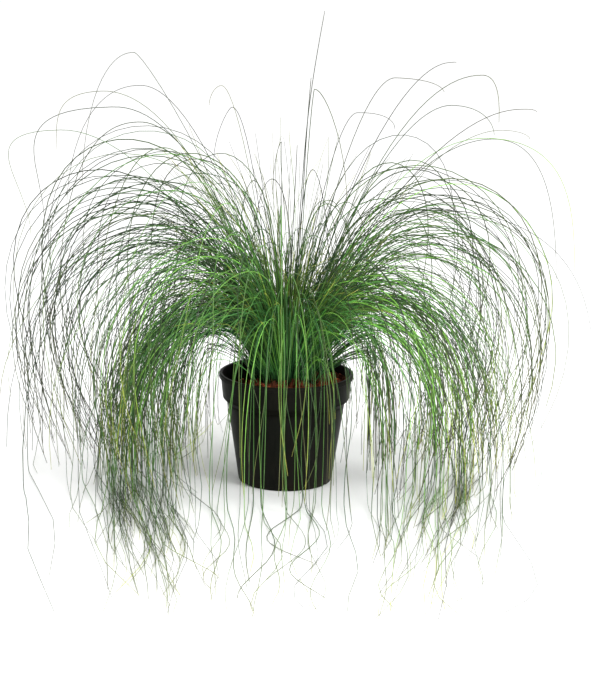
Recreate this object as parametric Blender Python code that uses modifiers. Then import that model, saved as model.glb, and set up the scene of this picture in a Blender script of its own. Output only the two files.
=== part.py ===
"""Potted fountain grass: a clump of hair-fine grass in a round plastic nursery pot, at its real size.

Metres, +Z up, with the side that is mostly seen towards -Y. The pot stands on z = 0 with its base centred on
the origin. The clump is a set of forked tufts planted in rings: the outer ring leans over furthest, falls
past the pot and lies along the ground, and each ring inside it stands steeper and reaches higher and wider.
"""

import math
from dataclasses import dataclass, replace

import bmesh
import bpy
import numpy as np
from mathutils import Matrix, Vector, noise

GAP = 0.0003

# Pot
POT_HEIGHT = 0.140
RIM_RADIUS = 0.085
BASE_RADIUS = 0.059
WALL = 0.0018
BASE_THICK = 0.004
BASE_ROUND = 0.0035
LIP_HEIGHT = 0.006
LIP_PROUD = 0.0022
LIP_ROUND = 0.002
RIM_EDGE = 0.001
BAND_HEIGHT = 0.031
BAND_DRAFT = 0.0027
SHOULDER_HEIGHT = 0.007
SHOULDER_ROUND = 0.0022
SHOULDER_SLOPE = 1.4
WALL_TOP_RADIUS = 0.0742
POT_SIDES = 40
MERGE_WITHIN = 0.0001

BAND_TOP_RADIUS = RIM_RADIUS - LIP_PROUD
BAND_LOW_RADIUS = BAND_TOP_RADIUS - BAND_DRAFT
LIP_LOW = POT_HEIGHT - LIP_HEIGHT
SHOULDER_TOP = POT_HEIGHT - BAND_HEIGHT
SHOULDER_LOW = SHOULDER_TOP - SHOULDER_HEIGHT

# Drainage under the base
DRAINS = 6
DRAIN_RADIUS = 0.0045
DRAIN_AT = 0.044
DRAIN_SIDES = 12
CHANNEL_WIDTH = 0.008
CHANNEL_DEPTH = 0.002
CHANNEL_START = 0.020
CHANNEL_END = 0.063

# Soil
SOIL_LEVEL = 0.129
SOIL_EDGE_DROP = 0.003
LEVEL_RADIUS = 0.050
LUMPY_TO_RADIUS = 0.074
LUMP_HEIGHT = 0.0035
LUMP_SIZE = 0.012
LUMP_SINK = 0.001
LUMP_RINGS = 5
SOIL_SIDES = 28


@dataclass(frozen=True)
class Ring:
    """A ring of tufts, in metres and degrees. A tilt is measured from upright, so 180 hangs straight down."""

    name: str
    count: int
    first: float  # azimuth of its first tuft, from +X towards +Y
    planted: float  # radius at the soil
    lean: float  # tilt once out of the soil
    straight: float  # length for which it keeps that tilt
    bend: float  # length over which it bends over
    early: float  # power below 1 that brings its bending forward
    fall: float  # tilt at which it hangs
    length: float
    fan: float  # how far each strand turns from the tuft's middle
    base: tuple  # half a section's width and height where it is planted
    fork: tuple  # the same where it forks
    strand: tuple  # the same along a strand
    to_right: float  # how much further it reaches to the right than to either side of it
    lands: bool = False  # whether its strands lie along the ground
    lowest: float = GAP  # height of its lowest part


RINGS = (
    Ring(
        "low", count=18, first=10, planted=0.0380, lean=24, straight=0.043, bend=0.370, early=0.46,
        fall=188, length=0.440, fan=5.0, base=(0.0050, 0.0044), fork=(0.0082, 0.0042),
        strand=(0.0052, 0.0031), to_right=0.08, lands=True,
    ),
    Ring(
        "middle", count=13, first=21, planted=0.0280, lean=23, straight=0.075, bend=0.420, early=0.50,
        fall=192, length=0.620, fan=6.5, base=(0.0047, 0.0040), fork=(0.0078, 0.0040),
        strand=(0.0046, 0.0028), to_right=0.07, lowest=0.030,
    ),
    Ring(
        "high", count=8, first=8, planted=0.0185, lean=23, straight=0.140, bend=0.480, early=0.62,
        fall=196, length=0.780, fan=9.0, base=(0.0044, 0.0036), fork=(0.0066, 0.0034),
        strand=(0.0036, 0.0024), to_right=0.07, lowest=0.080,
    ),
    Ring(
        "top", count=5, first=-15, planted=0.0100, lean=22, straight=0.220, bend=0.520, early=0.80,
        fall=198, length=0.900, fan=12.0, base=(0.0032, 0.0029), fork=(0.0044, 0.0028),
        strand=(0.0027, 0.0020), to_right=0.05, lowest=0.140,
    ),
    Ring(
        "upright", count=1, first=0, planted=0.0022, lean=2, straight=0.270, bend=0.220, early=1.0,
        fall=20, length=0.487, fan=30.0, base=(0.0022, 0.0022), fork=(0.0030, 0.0020),
        strand=(0.0020, 0.0016), to_right=0,
    ),
)

# What all the tufts share
CROWN_BACK = 0.008
RISE = 0.024
FORK_AT = 0.075
PARTS_FROM = 0.030
STRANDS_APART = 1.15
TRUNK_SECTIONS = 4
STRAND_SECTIONS = 11
TIP_LENGTH_SHARE = 0.40
TIP_TAPER_POWER = 0.6
TIP_RISE = 0.0005
SIDE_PULL = 5
REACH_START, REACH_VARIES = 8, 0.07
LENGTH_START, LENGTH_VARIES = 5, 0.05
STRANDS_VARY = 0.02
TIPS_VARY = 0.35

# How the lowest strands meet the ground
LANDING_RADIUS = 0.030
TURN_BEFORE = 0.060
TURN_LENGTH = 0.085
GROUND_FAN = 0.40
BACK_SINE = 0.3
RUN_LONGER = 0.20
FRONT_LONGER = 0.30
FRONT_NEARER = 0.15

ROUTE_STEPS = 300
BEND_WEIGHT = 0.45


def new_material(name, colour, roughness):
    material = bpy.data.materials.new(name)
    material.use_nodes = True
    shader = material.node_tree.nodes["Principled BSDF"]
    shader.inputs["Base Color"].default_value = (*colour, 1)
    shader.inputs["Roughness"].default_value = roughness
    shader.inputs["Metallic"].default_value = 0
    return material


def new_object(name, mesh, collection, material=None):
    piece = bpy.data.objects.new(name, mesh)
    if material:
        mesh.materials.append(material)
    collection.objects.link(piece)
    return piece


def clear_scene():
    for old in list(bpy.data.objects):
        bpy.data.objects.remove(old)


def arc(centre, radius, start, end, count):
    """Points of an arc from one angle to another, in degrees from the +X direction of (radius, height)."""
    angles = np.radians(np.linspace(start, end, count))
    return [(centre[0] + radius * math.cos(a), centre[1] + radius * math.sin(a)) for a in angles]


def pot_outline():
    """The pot's section, from the middle of its floor up the inside, over the lip and down the outside."""
    inside = [
        (0, BASE_THICK),
        (BASE_RADIUS - WALL, BASE_THICK),
        (WALL_TOP_RADIUS - WALL, SHOULDER_LOW),
        (BAND_LOW_RADIUS - WALL, SHOULDER_TOP),
        (BAND_TOP_RADIUS - WALL, LIP_LOW),
        (BAND_TOP_RADIUS - WALL, POT_HEIGHT - RIM_EDGE),
        (BAND_TOP_RADIUS - WALL + RIM_EDGE, POT_HEIGHT),
    ]
    lip = arc((RIM_RADIUS - LIP_ROUND, POT_HEIGHT - LIP_ROUND), LIP_ROUND, 90, 0, 3)
    lip += [(RIM_RADIUS, LIP_LOW)]
    band = [(BAND_TOP_RADIUS, LIP_LOW), (BAND_LOW_RADIUS, SHOULDER_TOP)]
    shoulder = [
        (BAND_LOW_RADIUS - SHOULDER_ROUND, SHOULDER_TOP - SHOULDER_ROUND * SHOULDER_SLOPE),
        (WALL_TOP_RADIUS, SHOULDER_LOW),
    ]
    foot = arc((BASE_RADIUS - BASE_ROUND, BASE_ROUND), BASE_ROUND, 0, -90, 4)
    return inside + lip + band + shoulder + foot + [(0, 0)]


def turned(name, outline, sides, collection, material):
    """An object turned about the Z axis from an outline of (radius, height) points."""
    mesh = bpy.data.meshes.new(name)
    points = [(radius, 0, height) for radius, height in outline]
    mesh.from_pydata(points, [(i, i + 1) for i in range(len(points) - 1)], [])
    piece = new_object(name, mesh, collection, material)
    screw = piece.modifiers.new("Turn", "SCREW")
    screw.steps = screw.render_steps = sides
    screw.use_merge_vertices = True
    screw.merge_threshold = MERGE_WITHIN
    screw.use_smooth_shade = True
    return piece


def channel_shape(shape):
    """A shallow channel that leads water from near the middle of the base out past its edge."""
    length = CHANNEL_END - CHANNEL_START
    size = Matrix.Diagonal((length, CHANNEL_WIDTH, 2 * CHANNEL_DEPTH, 1))
    place = Matrix.Translation((CHANNEL_START + length / 2, 0, 0))
    bmesh.ops.create_cube(shape, size=1, matrix=place @ size)


def drain_shape(shape):
    """A round hole up through the base."""
    place = Matrix.Translation((DRAIN_AT, 0, BASE_THICK / 2))
    bmesh.ops.create_cone(
        shape, cap_ends=True, segments=DRAIN_SIDES, radius1=DRAIN_RADIUS, radius2=DRAIN_RADIUS,
        depth=BASE_THICK * 2, matrix=place,
    )


def cut_each_drain(pot, name, make, cutters):
    """Cuts one shape out of the pot's base at each drain."""
    group = bpy.data.collections.new(name)
    cutters.children.link(group)
    for number in range(DRAINS):
        mesh = bpy.data.meshes.new(f"{name}_{number + 1}")
        shape = bmesh.new()
        make(shape)
        turn = Matrix.Rotation(math.tau * (number + 0.5) / DRAINS, 4, "Z")
        bmesh.ops.transform(shape, matrix=turn, verts=shape.verts)
        shape.to_mesh(mesh)
        shape.free()
        cutter = new_object(mesh.name, mesh, group)
        cutter.hide_render = True
        cutter.display_type = "WIRE"
    cut = pot.modifiers.new(name, "BOOLEAN")
    cut.operation = "DIFFERENCE"
    cut.operand_type = "COLLECTION"
    cut.collection = group


def build_pot(parts, cutters):
    plastic = new_material("pot_plastic", (0.012, 0.012, 0.011), 0.45)
    pot = turned("pot", pot_outline(), POT_SIDES, parts, plastic)
    cut_each_drain(pot, "channel", channel_shape, cutters)
    cut_each_drain(pot, "drain", drain_shape, cutters)


def soil_radius(height):
    """The radius of the soil at a height: the pot's inside, less the gap that the two keep."""
    heights = (BASE_THICK, SHOULDER_LOW, SHOULDER_TOP, LIP_LOW)
    radii = (BASE_RADIUS, WALL_TOP_RADIUS, BAND_LOW_RADIUS, BAND_TOP_RADIUS)
    facets = math.cos(math.pi / POT_SIDES)
    return (np.interp(height, heights, radii) - WALL) * facets - 2 * GAP


def build_soil(parts):
    """A plug of soil, level under the clump and lumpy from there out to the pot's wall."""
    earth = new_material("soil_earth", (0.085, 0.024, 0.010), 0.95)
    edge = SOIL_LEVEL - SOIL_EDGE_DROP
    outline = [(0, SOIL_LEVEL)]
    outline += [(radius, SOIL_LEVEL) for radius in np.linspace(LEVEL_RADIUS, LUMPY_TO_RADIUS, LUMP_RINGS)]
    outline += [
        (soil_radius(edge), edge),
        (soil_radius(SHOULDER_TOP), SHOULDER_TOP),
        (soil_radius(SHOULDER_LOW), SHOULDER_LOW),
        (soil_radius(BASE_THICK), BASE_THICK + GAP),
        (0, BASE_THICK + GAP),
    ]
    soil = turned("soil", outline, SOIL_SIDES, parts, earth)
    bpy.context.view_layer.update()
    evaluated = soil.evaluated_get(bpy.context.evaluated_depsgraph_get())
    soil.data = bpy.data.meshes.new_from_object(evaluated)
    soil.modifiers.clear()
    for vertex in soil.data.vertices:
        if vertex.co.z > edge + GAP and vertex.co.xy.length > LEVEL_RADIUS + GAP:
            place = Vector((vertex.co.x, vertex.co.y, 0)) / LUMP_SIZE
            vertex.co.z += LUMP_HEIGHT * noise.noise(place) - LUMP_SINK


def smooth_step(value):
    """0 below 0, 1 above 1, and a smooth rise between."""
    value = np.clip(value, 0, 1)
    return value * value * (3 - 2 * value)


def varied(number, spread):
    """A number from -spread to spread that looks irregular from one tuft to the next."""
    golden = 0.6180339887
    return spread * (2 * ((number * golden) % 1) - 1)


def running_sum(rates, steps):
    """The distance gone at each step, from the rate at which it is gone at each."""
    return np.concatenate([[0], np.cumsum((rates[1:] + rates[:-1]) / 2 * np.diff(steps))])


def tilts_along(ring, reach, steps):
    """The tilt at each step of a strand, and the step at which it comes down to its lowest.

    It rises out of the soil, takes its ring's lean, then bends over until it hangs. Where it lands, an arc of
    LANDING_RADIUS lays it flat.
    """
    lean, fall = math.radians(ring.lean), math.radians(ring.fall)
    tilt = lean * smooth_step(steps / RISE)
    bending = np.clip((steps - ring.straight * reach) / (ring.bend * reach), 0, 1)
    tilt += (fall - lean) * smooth_step(bending ** ring.early)
    height = SOIL_LEVEL + GAP + running_sum(np.cos(tilt), steps)
    dive = np.clip(tilt - math.pi / 2, 0, None)
    turning = LANDING_RADIUS * (1 - np.cos(dive)) * ring.lands
    low = np.flatnonzero((height - ring.lowest < turning) & (dive > 0))
    if not len(low):
        return tilt, steps[-1]
    landing = steps[low[0]]
    if ring.lands:
        laid = np.maximum(tilt[low[0]] - (steps - landing) / LANDING_RADIUS, math.pi / 2)
        tilt = np.where(steps > landing, laid, tilt)
    return tilt, landing


def goes_back(azimuth):
    """Whether a strand that lands here lies towards the back, and not towards the front."""
    return math.sin(azimuth) > BACK_SINE


def turned_on_landing(heading, azimuth, fan, steps, landing):
    """The heading of a strand that swings towards the front or the back as it lands."""
    towards = math.pi / 2 if goes_back(azimuth) else -math.pi / 2
    aside = (azimuth + fan - towards + math.pi) % math.tau - math.pi
    turn = (towards + GROUND_FAN * aside - heading + math.pi) % math.tau - math.pi
    return heading + turn * smooth_step((steps - landing + TURN_BEFORE) / TURN_LENGTH)


def outside_of_turn(azimuth):
    """1 if a tuft's left strand is on the outside of its turn on landing, -1 if its right strand is."""
    to_front = -1 if goes_back(azimuth) else 1
    return 1 if to_front * math.cos(azimuth) > 0 else -1


def strand_path(ring, azimuth, fan, reach, length):
    """A strand's steps, points, tilts and headings, from the soil to its tip.

    The two strands of a tuft run side by side, each more than half its width from the tuft's middle.
    """
    steps = np.linspace(0, length, ROUTE_STEPS)
    tilt, landing = tilts_along(ring, reach, steps)
    if landing < length and not ring.lands:
        return strand_path(ring, azimuth, fan, reach, landing)
    fan = math.radians(fan)
    side = azimuth - math.radians(SIDE_PULL) * math.sin(2 * azimuth)
    heading = side + fan * smooth_step((steps - PARTS_FROM) / ring.straight)
    if ring.lands:
        heading = turned_on_landing(heading, azimuth, fan, steps, landing)
    across = np.sin(tilt)
    apart = STRANDS_APART * ring.strand[0] * np.sign(fan)
    aside = apart * smooth_step((steps - PARTS_FROM) / (FORK_AT - PARTS_FROM))
    x = running_sum(across * np.cos(heading), steps) - aside * np.sin(heading)
    y = running_sum(across * np.sin(heading), steps) + aside * np.cos(heading)
    z = running_sum(np.cos(tilt), steps)
    planted_x, planted_y = ring.planted * math.cos(azimuth), ring.planted * math.sin(azimuth)
    points = np.stack([x, y, z], axis=1) + (planted_x, CROWN_BACK + planted_y, SOIL_LEVEL + GAP)
    if ring.lands:
        points[:, 2] = np.maximum(points[:, 2], ring.lowest)
    return steps, points, tilt, heading


def picked(route, count, start, end):
    """Sections along a route, closer together where it bends."""
    steps, points, tilt, heading = route
    turning = np.hypot(np.diff(tilt), np.diff(heading))
    measure = steps / steps[-1] + BEND_WEIGHT * np.concatenate([[0], np.cumsum(turning)])
    marks = np.linspace(np.interp(start, steps, measure), np.interp(end, steps, measure), count)
    at = np.interp(marks, measure, steps)
    points = np.stack([np.interp(at, steps, points[:, axis]) for axis in range(3)], axis=1)
    return list(zip(at, points, np.interp(at, steps, tilt), np.interp(at, steps, heading)))


def section(shape, point, tilt, heading, corners):
    """A section set square to the route, from corners given as distances to its left and above it."""
    along = Vector((math.sin(tilt) * math.cos(heading), math.sin(tilt) * math.sin(heading), math.cos(tilt)))
    left = Vector((-math.sin(heading), math.cos(heading), 0))
    above = along.cross(left)
    return [shape.verts.new(Vector(point) + left * across + above * up) for across, up in corners]


def bridge(shape, ring, next_ring):
    for i, corner in enumerate(ring):
        j = (i + 1) % len(ring)
        shape.faces.new((corner, ring[j], next_ring[j], next_ring[i]))


def add_trunk(shape, ring, route):
    """The kite-shaped stem of a tuft, from its planted end to the fork. Gives the fork's four corners."""
    last = None
    for step, point, tilt, heading in picked(route, TRUNK_SECTIONS + 1, 0, FORK_AT):
        half, high = np.array(ring.base) + (np.array(ring.fork) - ring.base) * step / FORK_AT
        corners = [(half, high), (0, 2 * high), (-half, high), (0, 0)]
        new = section(shape, point, tilt, heading, corners)
        if last:
            bridge(shape, last, new)
        else:
            shape.faces.new(new)
        last = new
    return last


def add_strand(shape, ring, route, last, is_left):
    """One strand of a tuft, keeled above and flat below, from three of the fork's corners to its tip."""
    length = route[0][-1]
    sections = picked(route, STRAND_SECTIONS + 1, FORK_AT, length)
    for step, point, tilt, heading in sections[1:-1]:
        taper = min(1, (length - step) / (length * TIP_LENGTH_SHARE)) ** TIP_TAPER_POWER
        half = ring.strand[0] * taper
        high = ring.strand[1] * (1 + taper)
        corners = [(half, 0), (0, high), (-half, 0)]
        if not is_left:
            corners = [corners[1], corners[2], corners[0]]
        new = section(shape, point, tilt, heading, corners)
        bridge(shape, last, new)
        last = new
    tip = shape.verts.new(Vector(sections[-1][1]) + Vector((0, 0, TIP_RISE)))
    for i in range(3):
        shape.faces.new((last[i], last[(i + 1) % 3], tip))


def build_tuft(parts, material, ring, number, azimuth, name):
    """A tuft: one stem that forks into two strands."""
    front = max(0, -math.sin(azimuth))
    reach = 1 + ring.to_right * math.cos(azimuth) + varied(number + REACH_START, REACH_VARIES)
    length = ring.length * (1 + varied(number + LENGTH_START, LENGTH_VARIES))
    further = (-1) ** number
    if ring.lands:
        reach -= FRONT_NEARER * front ** 3
        length *= 1 + RUN_LONGER * (not goes_back(azimuth)) + FRONT_LONGER * front
        further = outside_of_turn(azimuth)
    else:
        ring = replace(ring, lowest=ring.lowest * (1 + varied(3 * number, TIPS_VARY)))
    shape = bmesh.new()
    left, top, right, bottom = add_trunk(shape, ring, strand_path(ring, azimuth, 0, reach, length))
    for sign, fork in ((1, (left, top, bottom)), (-1, (top, right, bottom))):
        own_reach = reach * (1 + STRANDS_VARY * sign * further)
        own_length = length * (1 + varied(2 * number + sign, LENGTH_VARIES))
        route = strand_path(ring, azimuth, sign * ring.fan, own_reach, own_length)
        add_strand(shape, ring, route, fork, is_left=sign > 0)
    bmesh.ops.recalc_face_normals(shape, faces=shape.faces)
    mesh = bpy.data.meshes.new(name)
    shape.to_mesh(mesh)
    shape.free()
    new_object(name, mesh, parts, material)


def compass(azimuth):
    """A plain word for the side of the pot that an azimuth points to."""
    sides = ("right", "back_right", "back", "back_left", "left", "front_left", "front", "front_right")
    return sides[round(math.degrees(azimuth) / 45) % 8]


def build_clump(parts):
    blades = new_material("grass_blade", (0.045, 0.150, 0.035), 0.55)
    named = {}
    for ring in RINGS:
        for number in range(ring.count):
            azimuth = math.radians(ring.first) + math.tau * number / ring.count
            name = f"{ring.name}_tuft"
            if ring.count > 1:
                name += f"_{compass(azimuth)}"
                named[name] = named.get(name, 0) + 1
                name += f"_{named[name]}"
            build_tuft(parts, blades, ring, number, azimuth, name)


def main():
    clear_scene()
    scene = bpy.context.scene.collection
    parts = bpy.data.collections.new("potted_grass")
    cutters = bpy.data.collections.new("cutters")
    scene.children.link(parts)
    scene.children.link(cutters)
    build_pot(parts, cutters)
    build_soil(parts)
    build_clump(parts)


main()
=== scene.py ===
# %% [markdown]
# # A pot of hair-fine fountain grass
#
# This lesson dresses a potted grass whose plain solids are already modelled: a nursery pot, a plug of soil
# and a set of forked tufts. Here the pot gets its moulded finish, the soil its crumbs, and each tuft is
# replaced by the fine blades that it stands for. All is in metres, with +Z up and the pot's base on z = 0.

# %% Load the solids
import math

import bmesh
import bpy
import numpy as np
from mathutils import Matrix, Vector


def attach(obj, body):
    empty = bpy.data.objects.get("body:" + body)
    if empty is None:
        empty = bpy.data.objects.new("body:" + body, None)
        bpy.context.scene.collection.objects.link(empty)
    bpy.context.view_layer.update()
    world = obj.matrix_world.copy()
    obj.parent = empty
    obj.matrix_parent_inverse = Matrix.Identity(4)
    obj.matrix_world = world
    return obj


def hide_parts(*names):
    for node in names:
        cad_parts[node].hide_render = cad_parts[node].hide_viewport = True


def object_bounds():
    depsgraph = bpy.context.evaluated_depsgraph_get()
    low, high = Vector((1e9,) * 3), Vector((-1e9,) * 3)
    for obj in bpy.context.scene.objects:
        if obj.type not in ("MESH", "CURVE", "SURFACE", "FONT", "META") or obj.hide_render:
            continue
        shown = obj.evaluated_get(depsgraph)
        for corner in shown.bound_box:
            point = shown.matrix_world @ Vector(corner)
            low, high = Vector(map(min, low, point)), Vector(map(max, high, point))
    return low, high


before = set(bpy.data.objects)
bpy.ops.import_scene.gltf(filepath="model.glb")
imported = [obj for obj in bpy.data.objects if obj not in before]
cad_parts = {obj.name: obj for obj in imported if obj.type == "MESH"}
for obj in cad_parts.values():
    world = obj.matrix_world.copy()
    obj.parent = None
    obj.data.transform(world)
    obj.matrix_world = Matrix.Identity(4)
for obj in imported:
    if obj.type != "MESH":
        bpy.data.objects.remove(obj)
solid_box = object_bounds()
print(len(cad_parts), "solids, from", solid_box[0], "to", solid_box[1])

# %% [markdown]
# ## Small tools for making materials
#
# A finish is a tree of nodes that ends in one Principled shader. A few short helpers keep the lesson
# readable: they start a material, add the nodes that are used often, and mix two colours. What is the same
# all over a surface is set on the shader's own socket, and only what varies is linked into it.

# %% Material tools


def set_sockets(tree, inputs, values):
    """Links each value that is another node's output, and sets the others as constants."""
    for name, value in values.items():
        if isinstance(value, bpy.types.NodeSocket):
            tree.links.new(value, inputs[name])
        else:
            inputs[name].default_value = value


def start_material(name, settings):
    """A material, its node tree and the sockets of its one Principled shader."""
    material = bpy.data.materials.new(name)
    material.use_nodes = True
    tree = material.node_tree
    surface = tree.nodes["Principled BSDF"].inputs
    set_sockets(tree, surface, settings)
    return material, tree, surface


def add_node(tree, kind, inputs=(), **settings):
    """A node with its settings, and values or links for some of its inputs."""
    node = tree.nodes.new(kind)
    for name, value in settings.items():
        setattr(node, name, value)
    set_sockets(tree, node.inputs, dict(inputs))
    return node


def read_place(tree, kind="Object"):
    return add_node(tree, "ShaderNodeTexCoord").outputs[kind]


def read_attribute(tree, name):
    return add_node(tree, "ShaderNodeAttribute", attribute_name=name).outputs["Fac"]


def add_ramp(tree, factor, stops):
    """A colour ramp from (position, colour) stops."""
    ramp = add_node(tree, "ShaderNodeValToRGB", {"Fac": factor})
    elements = ramp.color_ramp.elements
    while len(elements) < len(stops):
        elements.new(0.5)
    for element, (position, colour) in zip(elements, stops):
        element.position = position
        element.color = (*colour, 1)
    return ramp.outputs["Color"]


def add_grey_ramp(tree, factor, stops):
    return add_ramp(tree, factor, [(position, (grey,) * 3) for position, grey in stops])


def add_noise(tree, place, scale, detail):
    settings = {"Vector": place, "Scale": scale, "Detail": detail}
    return add_node(tree, "ShaderNodeTexNoise", settings).outputs["Fac"]


def add_bump(tree, height, strength, distance, **under):
    settings = {"Height": height, "Strength": strength, "Distance": distance, **under}
    return add_node(tree, "ShaderNodeBump", settings).outputs["Normal"]


def mix_colours(tree, factor, first, second, blend="MIX"):
    mix = add_node(tree, "ShaderNodeMix", data_type="RGBA", blend_type=blend)
    inputs = {socket.identifier: socket for socket in mix.inputs}
    set_sockets(tree, inputs, {"Factor_Float": factor, "A_Color": first, "B_Color": second})
    return next(s for s in mix.outputs if s.identifier == "Result_Color")


def tint(tree, colour, shift):
    """The colour times the shift: 1 leaves it as it is."""
    return mix_colours(tree, 1.0, colour, shift, "MULTIPLY")


# %% [markdown]
# ## Surfaces from arrays
#
# A shape here is a grid of points worked out with numpy, all at once. These helpers turn such grids into
# meshes: neighbouring points make a four-sided face, and each grid goes once around and meets itself.

# %% Mesh from a grid


def grid_faces(rows, columns):
    """Corner numbers of the faces of a grid, whose last column meets its first."""
    row = np.arange(rows - 1)[:, None]
    column = np.arange(columns)[None, :]
    after = (column + 1) % columns
    this, following = row * columns, (row + 1) * columns
    corners = (this + column, this + after, following + after, following + column)
    return np.stack(corners, axis=-1).reshape(-1, 4)


def tube_faces(count, rings, sides, flipped=False):
    """Faces of many tubes whose points follow each other, each closed by one face at both ends."""
    each = rings * sides
    caps = np.array([range(sides)[::-1], range(each - sides, each)])
    offsets = (np.arange(count) * each)[:, None, None]
    faces = []
    for shape in (grid_faces(rings, sides), caps):
        shape = shape[:, ::-1] if flipped else shape
        faces += (shape[None] + offsets).reshape(-1, shape.shape[1]).tolist()
    return faces


def add_object(name, data):
    made = bpy.data.objects.new(name, data)
    bpy.context.scene.collection.objects.link(made)
    return made


def new_piece(name, points, faces, material, smooth=True):
    """An object at the origin with its place in its mesh, which rides on the frame's one body."""
    mesh = bpy.data.meshes.new(name)
    mesh.from_pydata(points.reshape(-1, 3), [], faces)
    mesh.polygons.foreach_set("use_smooth", np.full(len(mesh.polygons), smooth))
    mesh.materials.append(material)
    piece = add_object(name, mesh)
    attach(piece, "root")
    return piece


def give_points(piece, name, values):
    """A number for each point of the piece, which its material can read."""
    piece.data.attributes.new(name, "FLOAT", "POINT").data.foreach_set("value", values)


def tidy_mesh(piece):
    """Merges doubled points, such as those at a pole, and points all faces outwards."""
    work = bmesh.new()
    work.from_mesh(piece.data)
    bmesh.ops.remove_doubles(work, verts=work.verts, dist=1e-6)
    bmesh.ops.recalc_face_normals(work, faces=work.faces)
    work.to_mesh(piece.data)
    work.free()


# %% [markdown]
# ## The pot's moulded plastic
#
# A nursery pot is injection moulded from reclaimed plastic. It is almost black, neither matt nor glossy, and
# its skin has a faint grain with brushed streaks down the wall, where the mould drew off. Dust makes it a
# little browner near the rim and the foot. In the corner under the band the shine is turned down by height,
# so that corner shows no highlight and reads darker: a painted shade. Noise nodes on Object coordinates give
# the grain, the streaks and the dust, so the marks have a real size.

# %% Pot finish
POT_HEIGHT = 0.140


def pot_finish():
    material, tree, surface = start_material("black_nursery_plastic", {"Roughness": 0.42})
    place = read_place(tree)
    drawn = add_node(tree, "ShaderNodeMapping", {"Vector": place, "Scale": (1, 1, 0.06)}).outputs["Vector"]
    streaks = add_noise(tree, drawn, 260.0, 3.0)
    blotches = add_noise(tree, place, 38.0, 5.0)
    grain = add_noise(tree, place, 2600.0, 2.0)
    height = add_node(tree, "ShaderNodeSeparateXYZ", {"Vector": place}).outputs["Z"]
    up = add_node(tree, "ShaderNodeMapRange", {"Value": height, "From Max": POT_HEIGHT}).outputs["Result"]
    dusty = add_grey_ramp(tree, up, [(0.0, 0.35), (0.15, 0.08), (0.75, 0.02), (1.0, 0.16)])
    patchy = add_grey_ramp(tree, blotches, [(0.42, 0), (0.75, 1)])
    # Less shine in the corner under the band, set by height: painted shade that takes out its highlight and
    # darkens it.
    shine_with_painted_shade = add_grey_ramp(tree, up, [(0.69, 0.08), (0.73, 0.02), (0.775, 0.02), (0.80, 0.08)])
    plastic = add_ramp(tree, streaks, [(0.3, (0.0026, 0.0030, 0.0018)), (0.7, (0.0056, 0.0062, 0.0040))])
    rough = add_node(tree, "ShaderNodeMapRange", {"Value": blotches, "To Min": 0.34, "To Max": 0.52})
    set_sockets(tree, surface, {
        "Base Color": mix_colours(tree, tint(tree, dusty, patchy), plastic, (0.045, 0.022, 0.014, 1)),
        "Specular IOR Level": shine_with_painted_shade,
        "Roughness": rough.outputs["Result"],
        "Normal": add_bump(tree, streaks, 0.12, 0.0004, Normal=add_bump(tree, grain, 0.10, 0.0002)),
    })
    return material


black_plastic = pot_finish()
print("made", black_plastic.name)

# %% [markdown]
# ## The pot's shell
#
# The shell is its own outline turned about Z: radius and height along the outline are one parameter, the
# angle is the other. Real mouldings have no knife edges, so the outline's corners are rounded first. Each
# corner is replaced by a short curve that starts on one side of it, ends on the other and leans towards it,
# and this keeps every straight run where the solid has it.

# %% Rounded outline
WALL = 0.0018
BASE_THICK = 0.004
BASE_RADIUS = 0.059
SHOULDER_LOW, SHOULDER_TOP, LIP_LOW = 0.102, 0.109, 0.134
WALL_TOP, BAND_LOW, BAND_TOP, RIM = 0.0742, 0.0801, 0.0828, 0.0850
CORNERS = (  # radius, height, and how far from the corner its rounding starts
    (0.0, BASE_THICK, 0),
    (BASE_RADIUS - WALL, BASE_THICK, 0.002),
    (WALL_TOP - WALL, SHOULDER_LOW, 0.0012),
    (BAND_LOW - WALL, SHOULDER_TOP, 0.0012),
    (BAND_TOP - WALL, POT_HEIGHT, 0.0008),
    (RIM, POT_HEIGHT, 0.0018),
    (RIM, LIP_LOW, 0.0007),
    (BAND_TOP, LIP_LOW, 0.0005),
    (BAND_LOW, SHOULDER_TOP - 0.0005, 0.0009),
    (WALL_TOP, SHOULDER_LOW, 0.0014),
    (BASE_RADIUS, 0.0, 0.0034),
    (0.0, 0.0, 0),
)


def rounded_outline(corners, steps=5):
    """Each corner becomes a curve: (1-t)^2 times its start, 2t(1-t) times the corner, t^2 times its end."""
    corner = np.array([c[:2] for c in corners])
    inset = np.array([c[2] for c in corners])[1:-1, None]
    back = corner[:-2] - corner[1:-1]
    ahead = corner[2:] - corner[1:-1]
    start = corner[1:-1] + inset * back / np.linalg.norm(back, axis=1, keepdims=True)
    end = corner[1:-1] + inset * ahead / np.linalg.norm(ahead, axis=1, keepdims=True)
    t = np.linspace(0, 1, steps)[None, :, None]
    curves = (1 - t) ** 2 * start[:, None] + 2 * t * (1 - t) * corner[1:-1, None] + t**2 * end[:, None]
    return np.concatenate([corner[:1], curves.reshape(-1, 2), corner[-1:]])


def turn_outline(outline, sides):
    """Points (radius cos a, radius sin a, height) for every outline point and every angle a."""
    angle = np.linspace(0, math.tau, sides, endpoint=False)[None, :]
    radius, height = outline[:, :1], outline[:, 1:]
    return np.stack([radius * np.cos(angle), radius * np.sin(angle), height + 0 * angle], axis=-1)


pot_outline = rounded_outline(CORNERS)
POT_SIDES = 144
shell_points = turn_outline(pot_outline, POT_SIDES)
shell_faces = grid_faces(len(pot_outline), POT_SIDES)
pot = new_piece("moulded_pot", shell_points, shell_faces, black_plastic)
tidy_mesh(pot)
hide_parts("pot")
print("pot shell:", len(pot.data.polygons), "faces")

# %% [markdown]
# ## Drainage under the base
#
# Water leaves through six round holes, each in a shallow channel, so that the pot drains on a flat floor
# too. They are cut with Boolean modifiers, and the result becomes the mesh.

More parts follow.
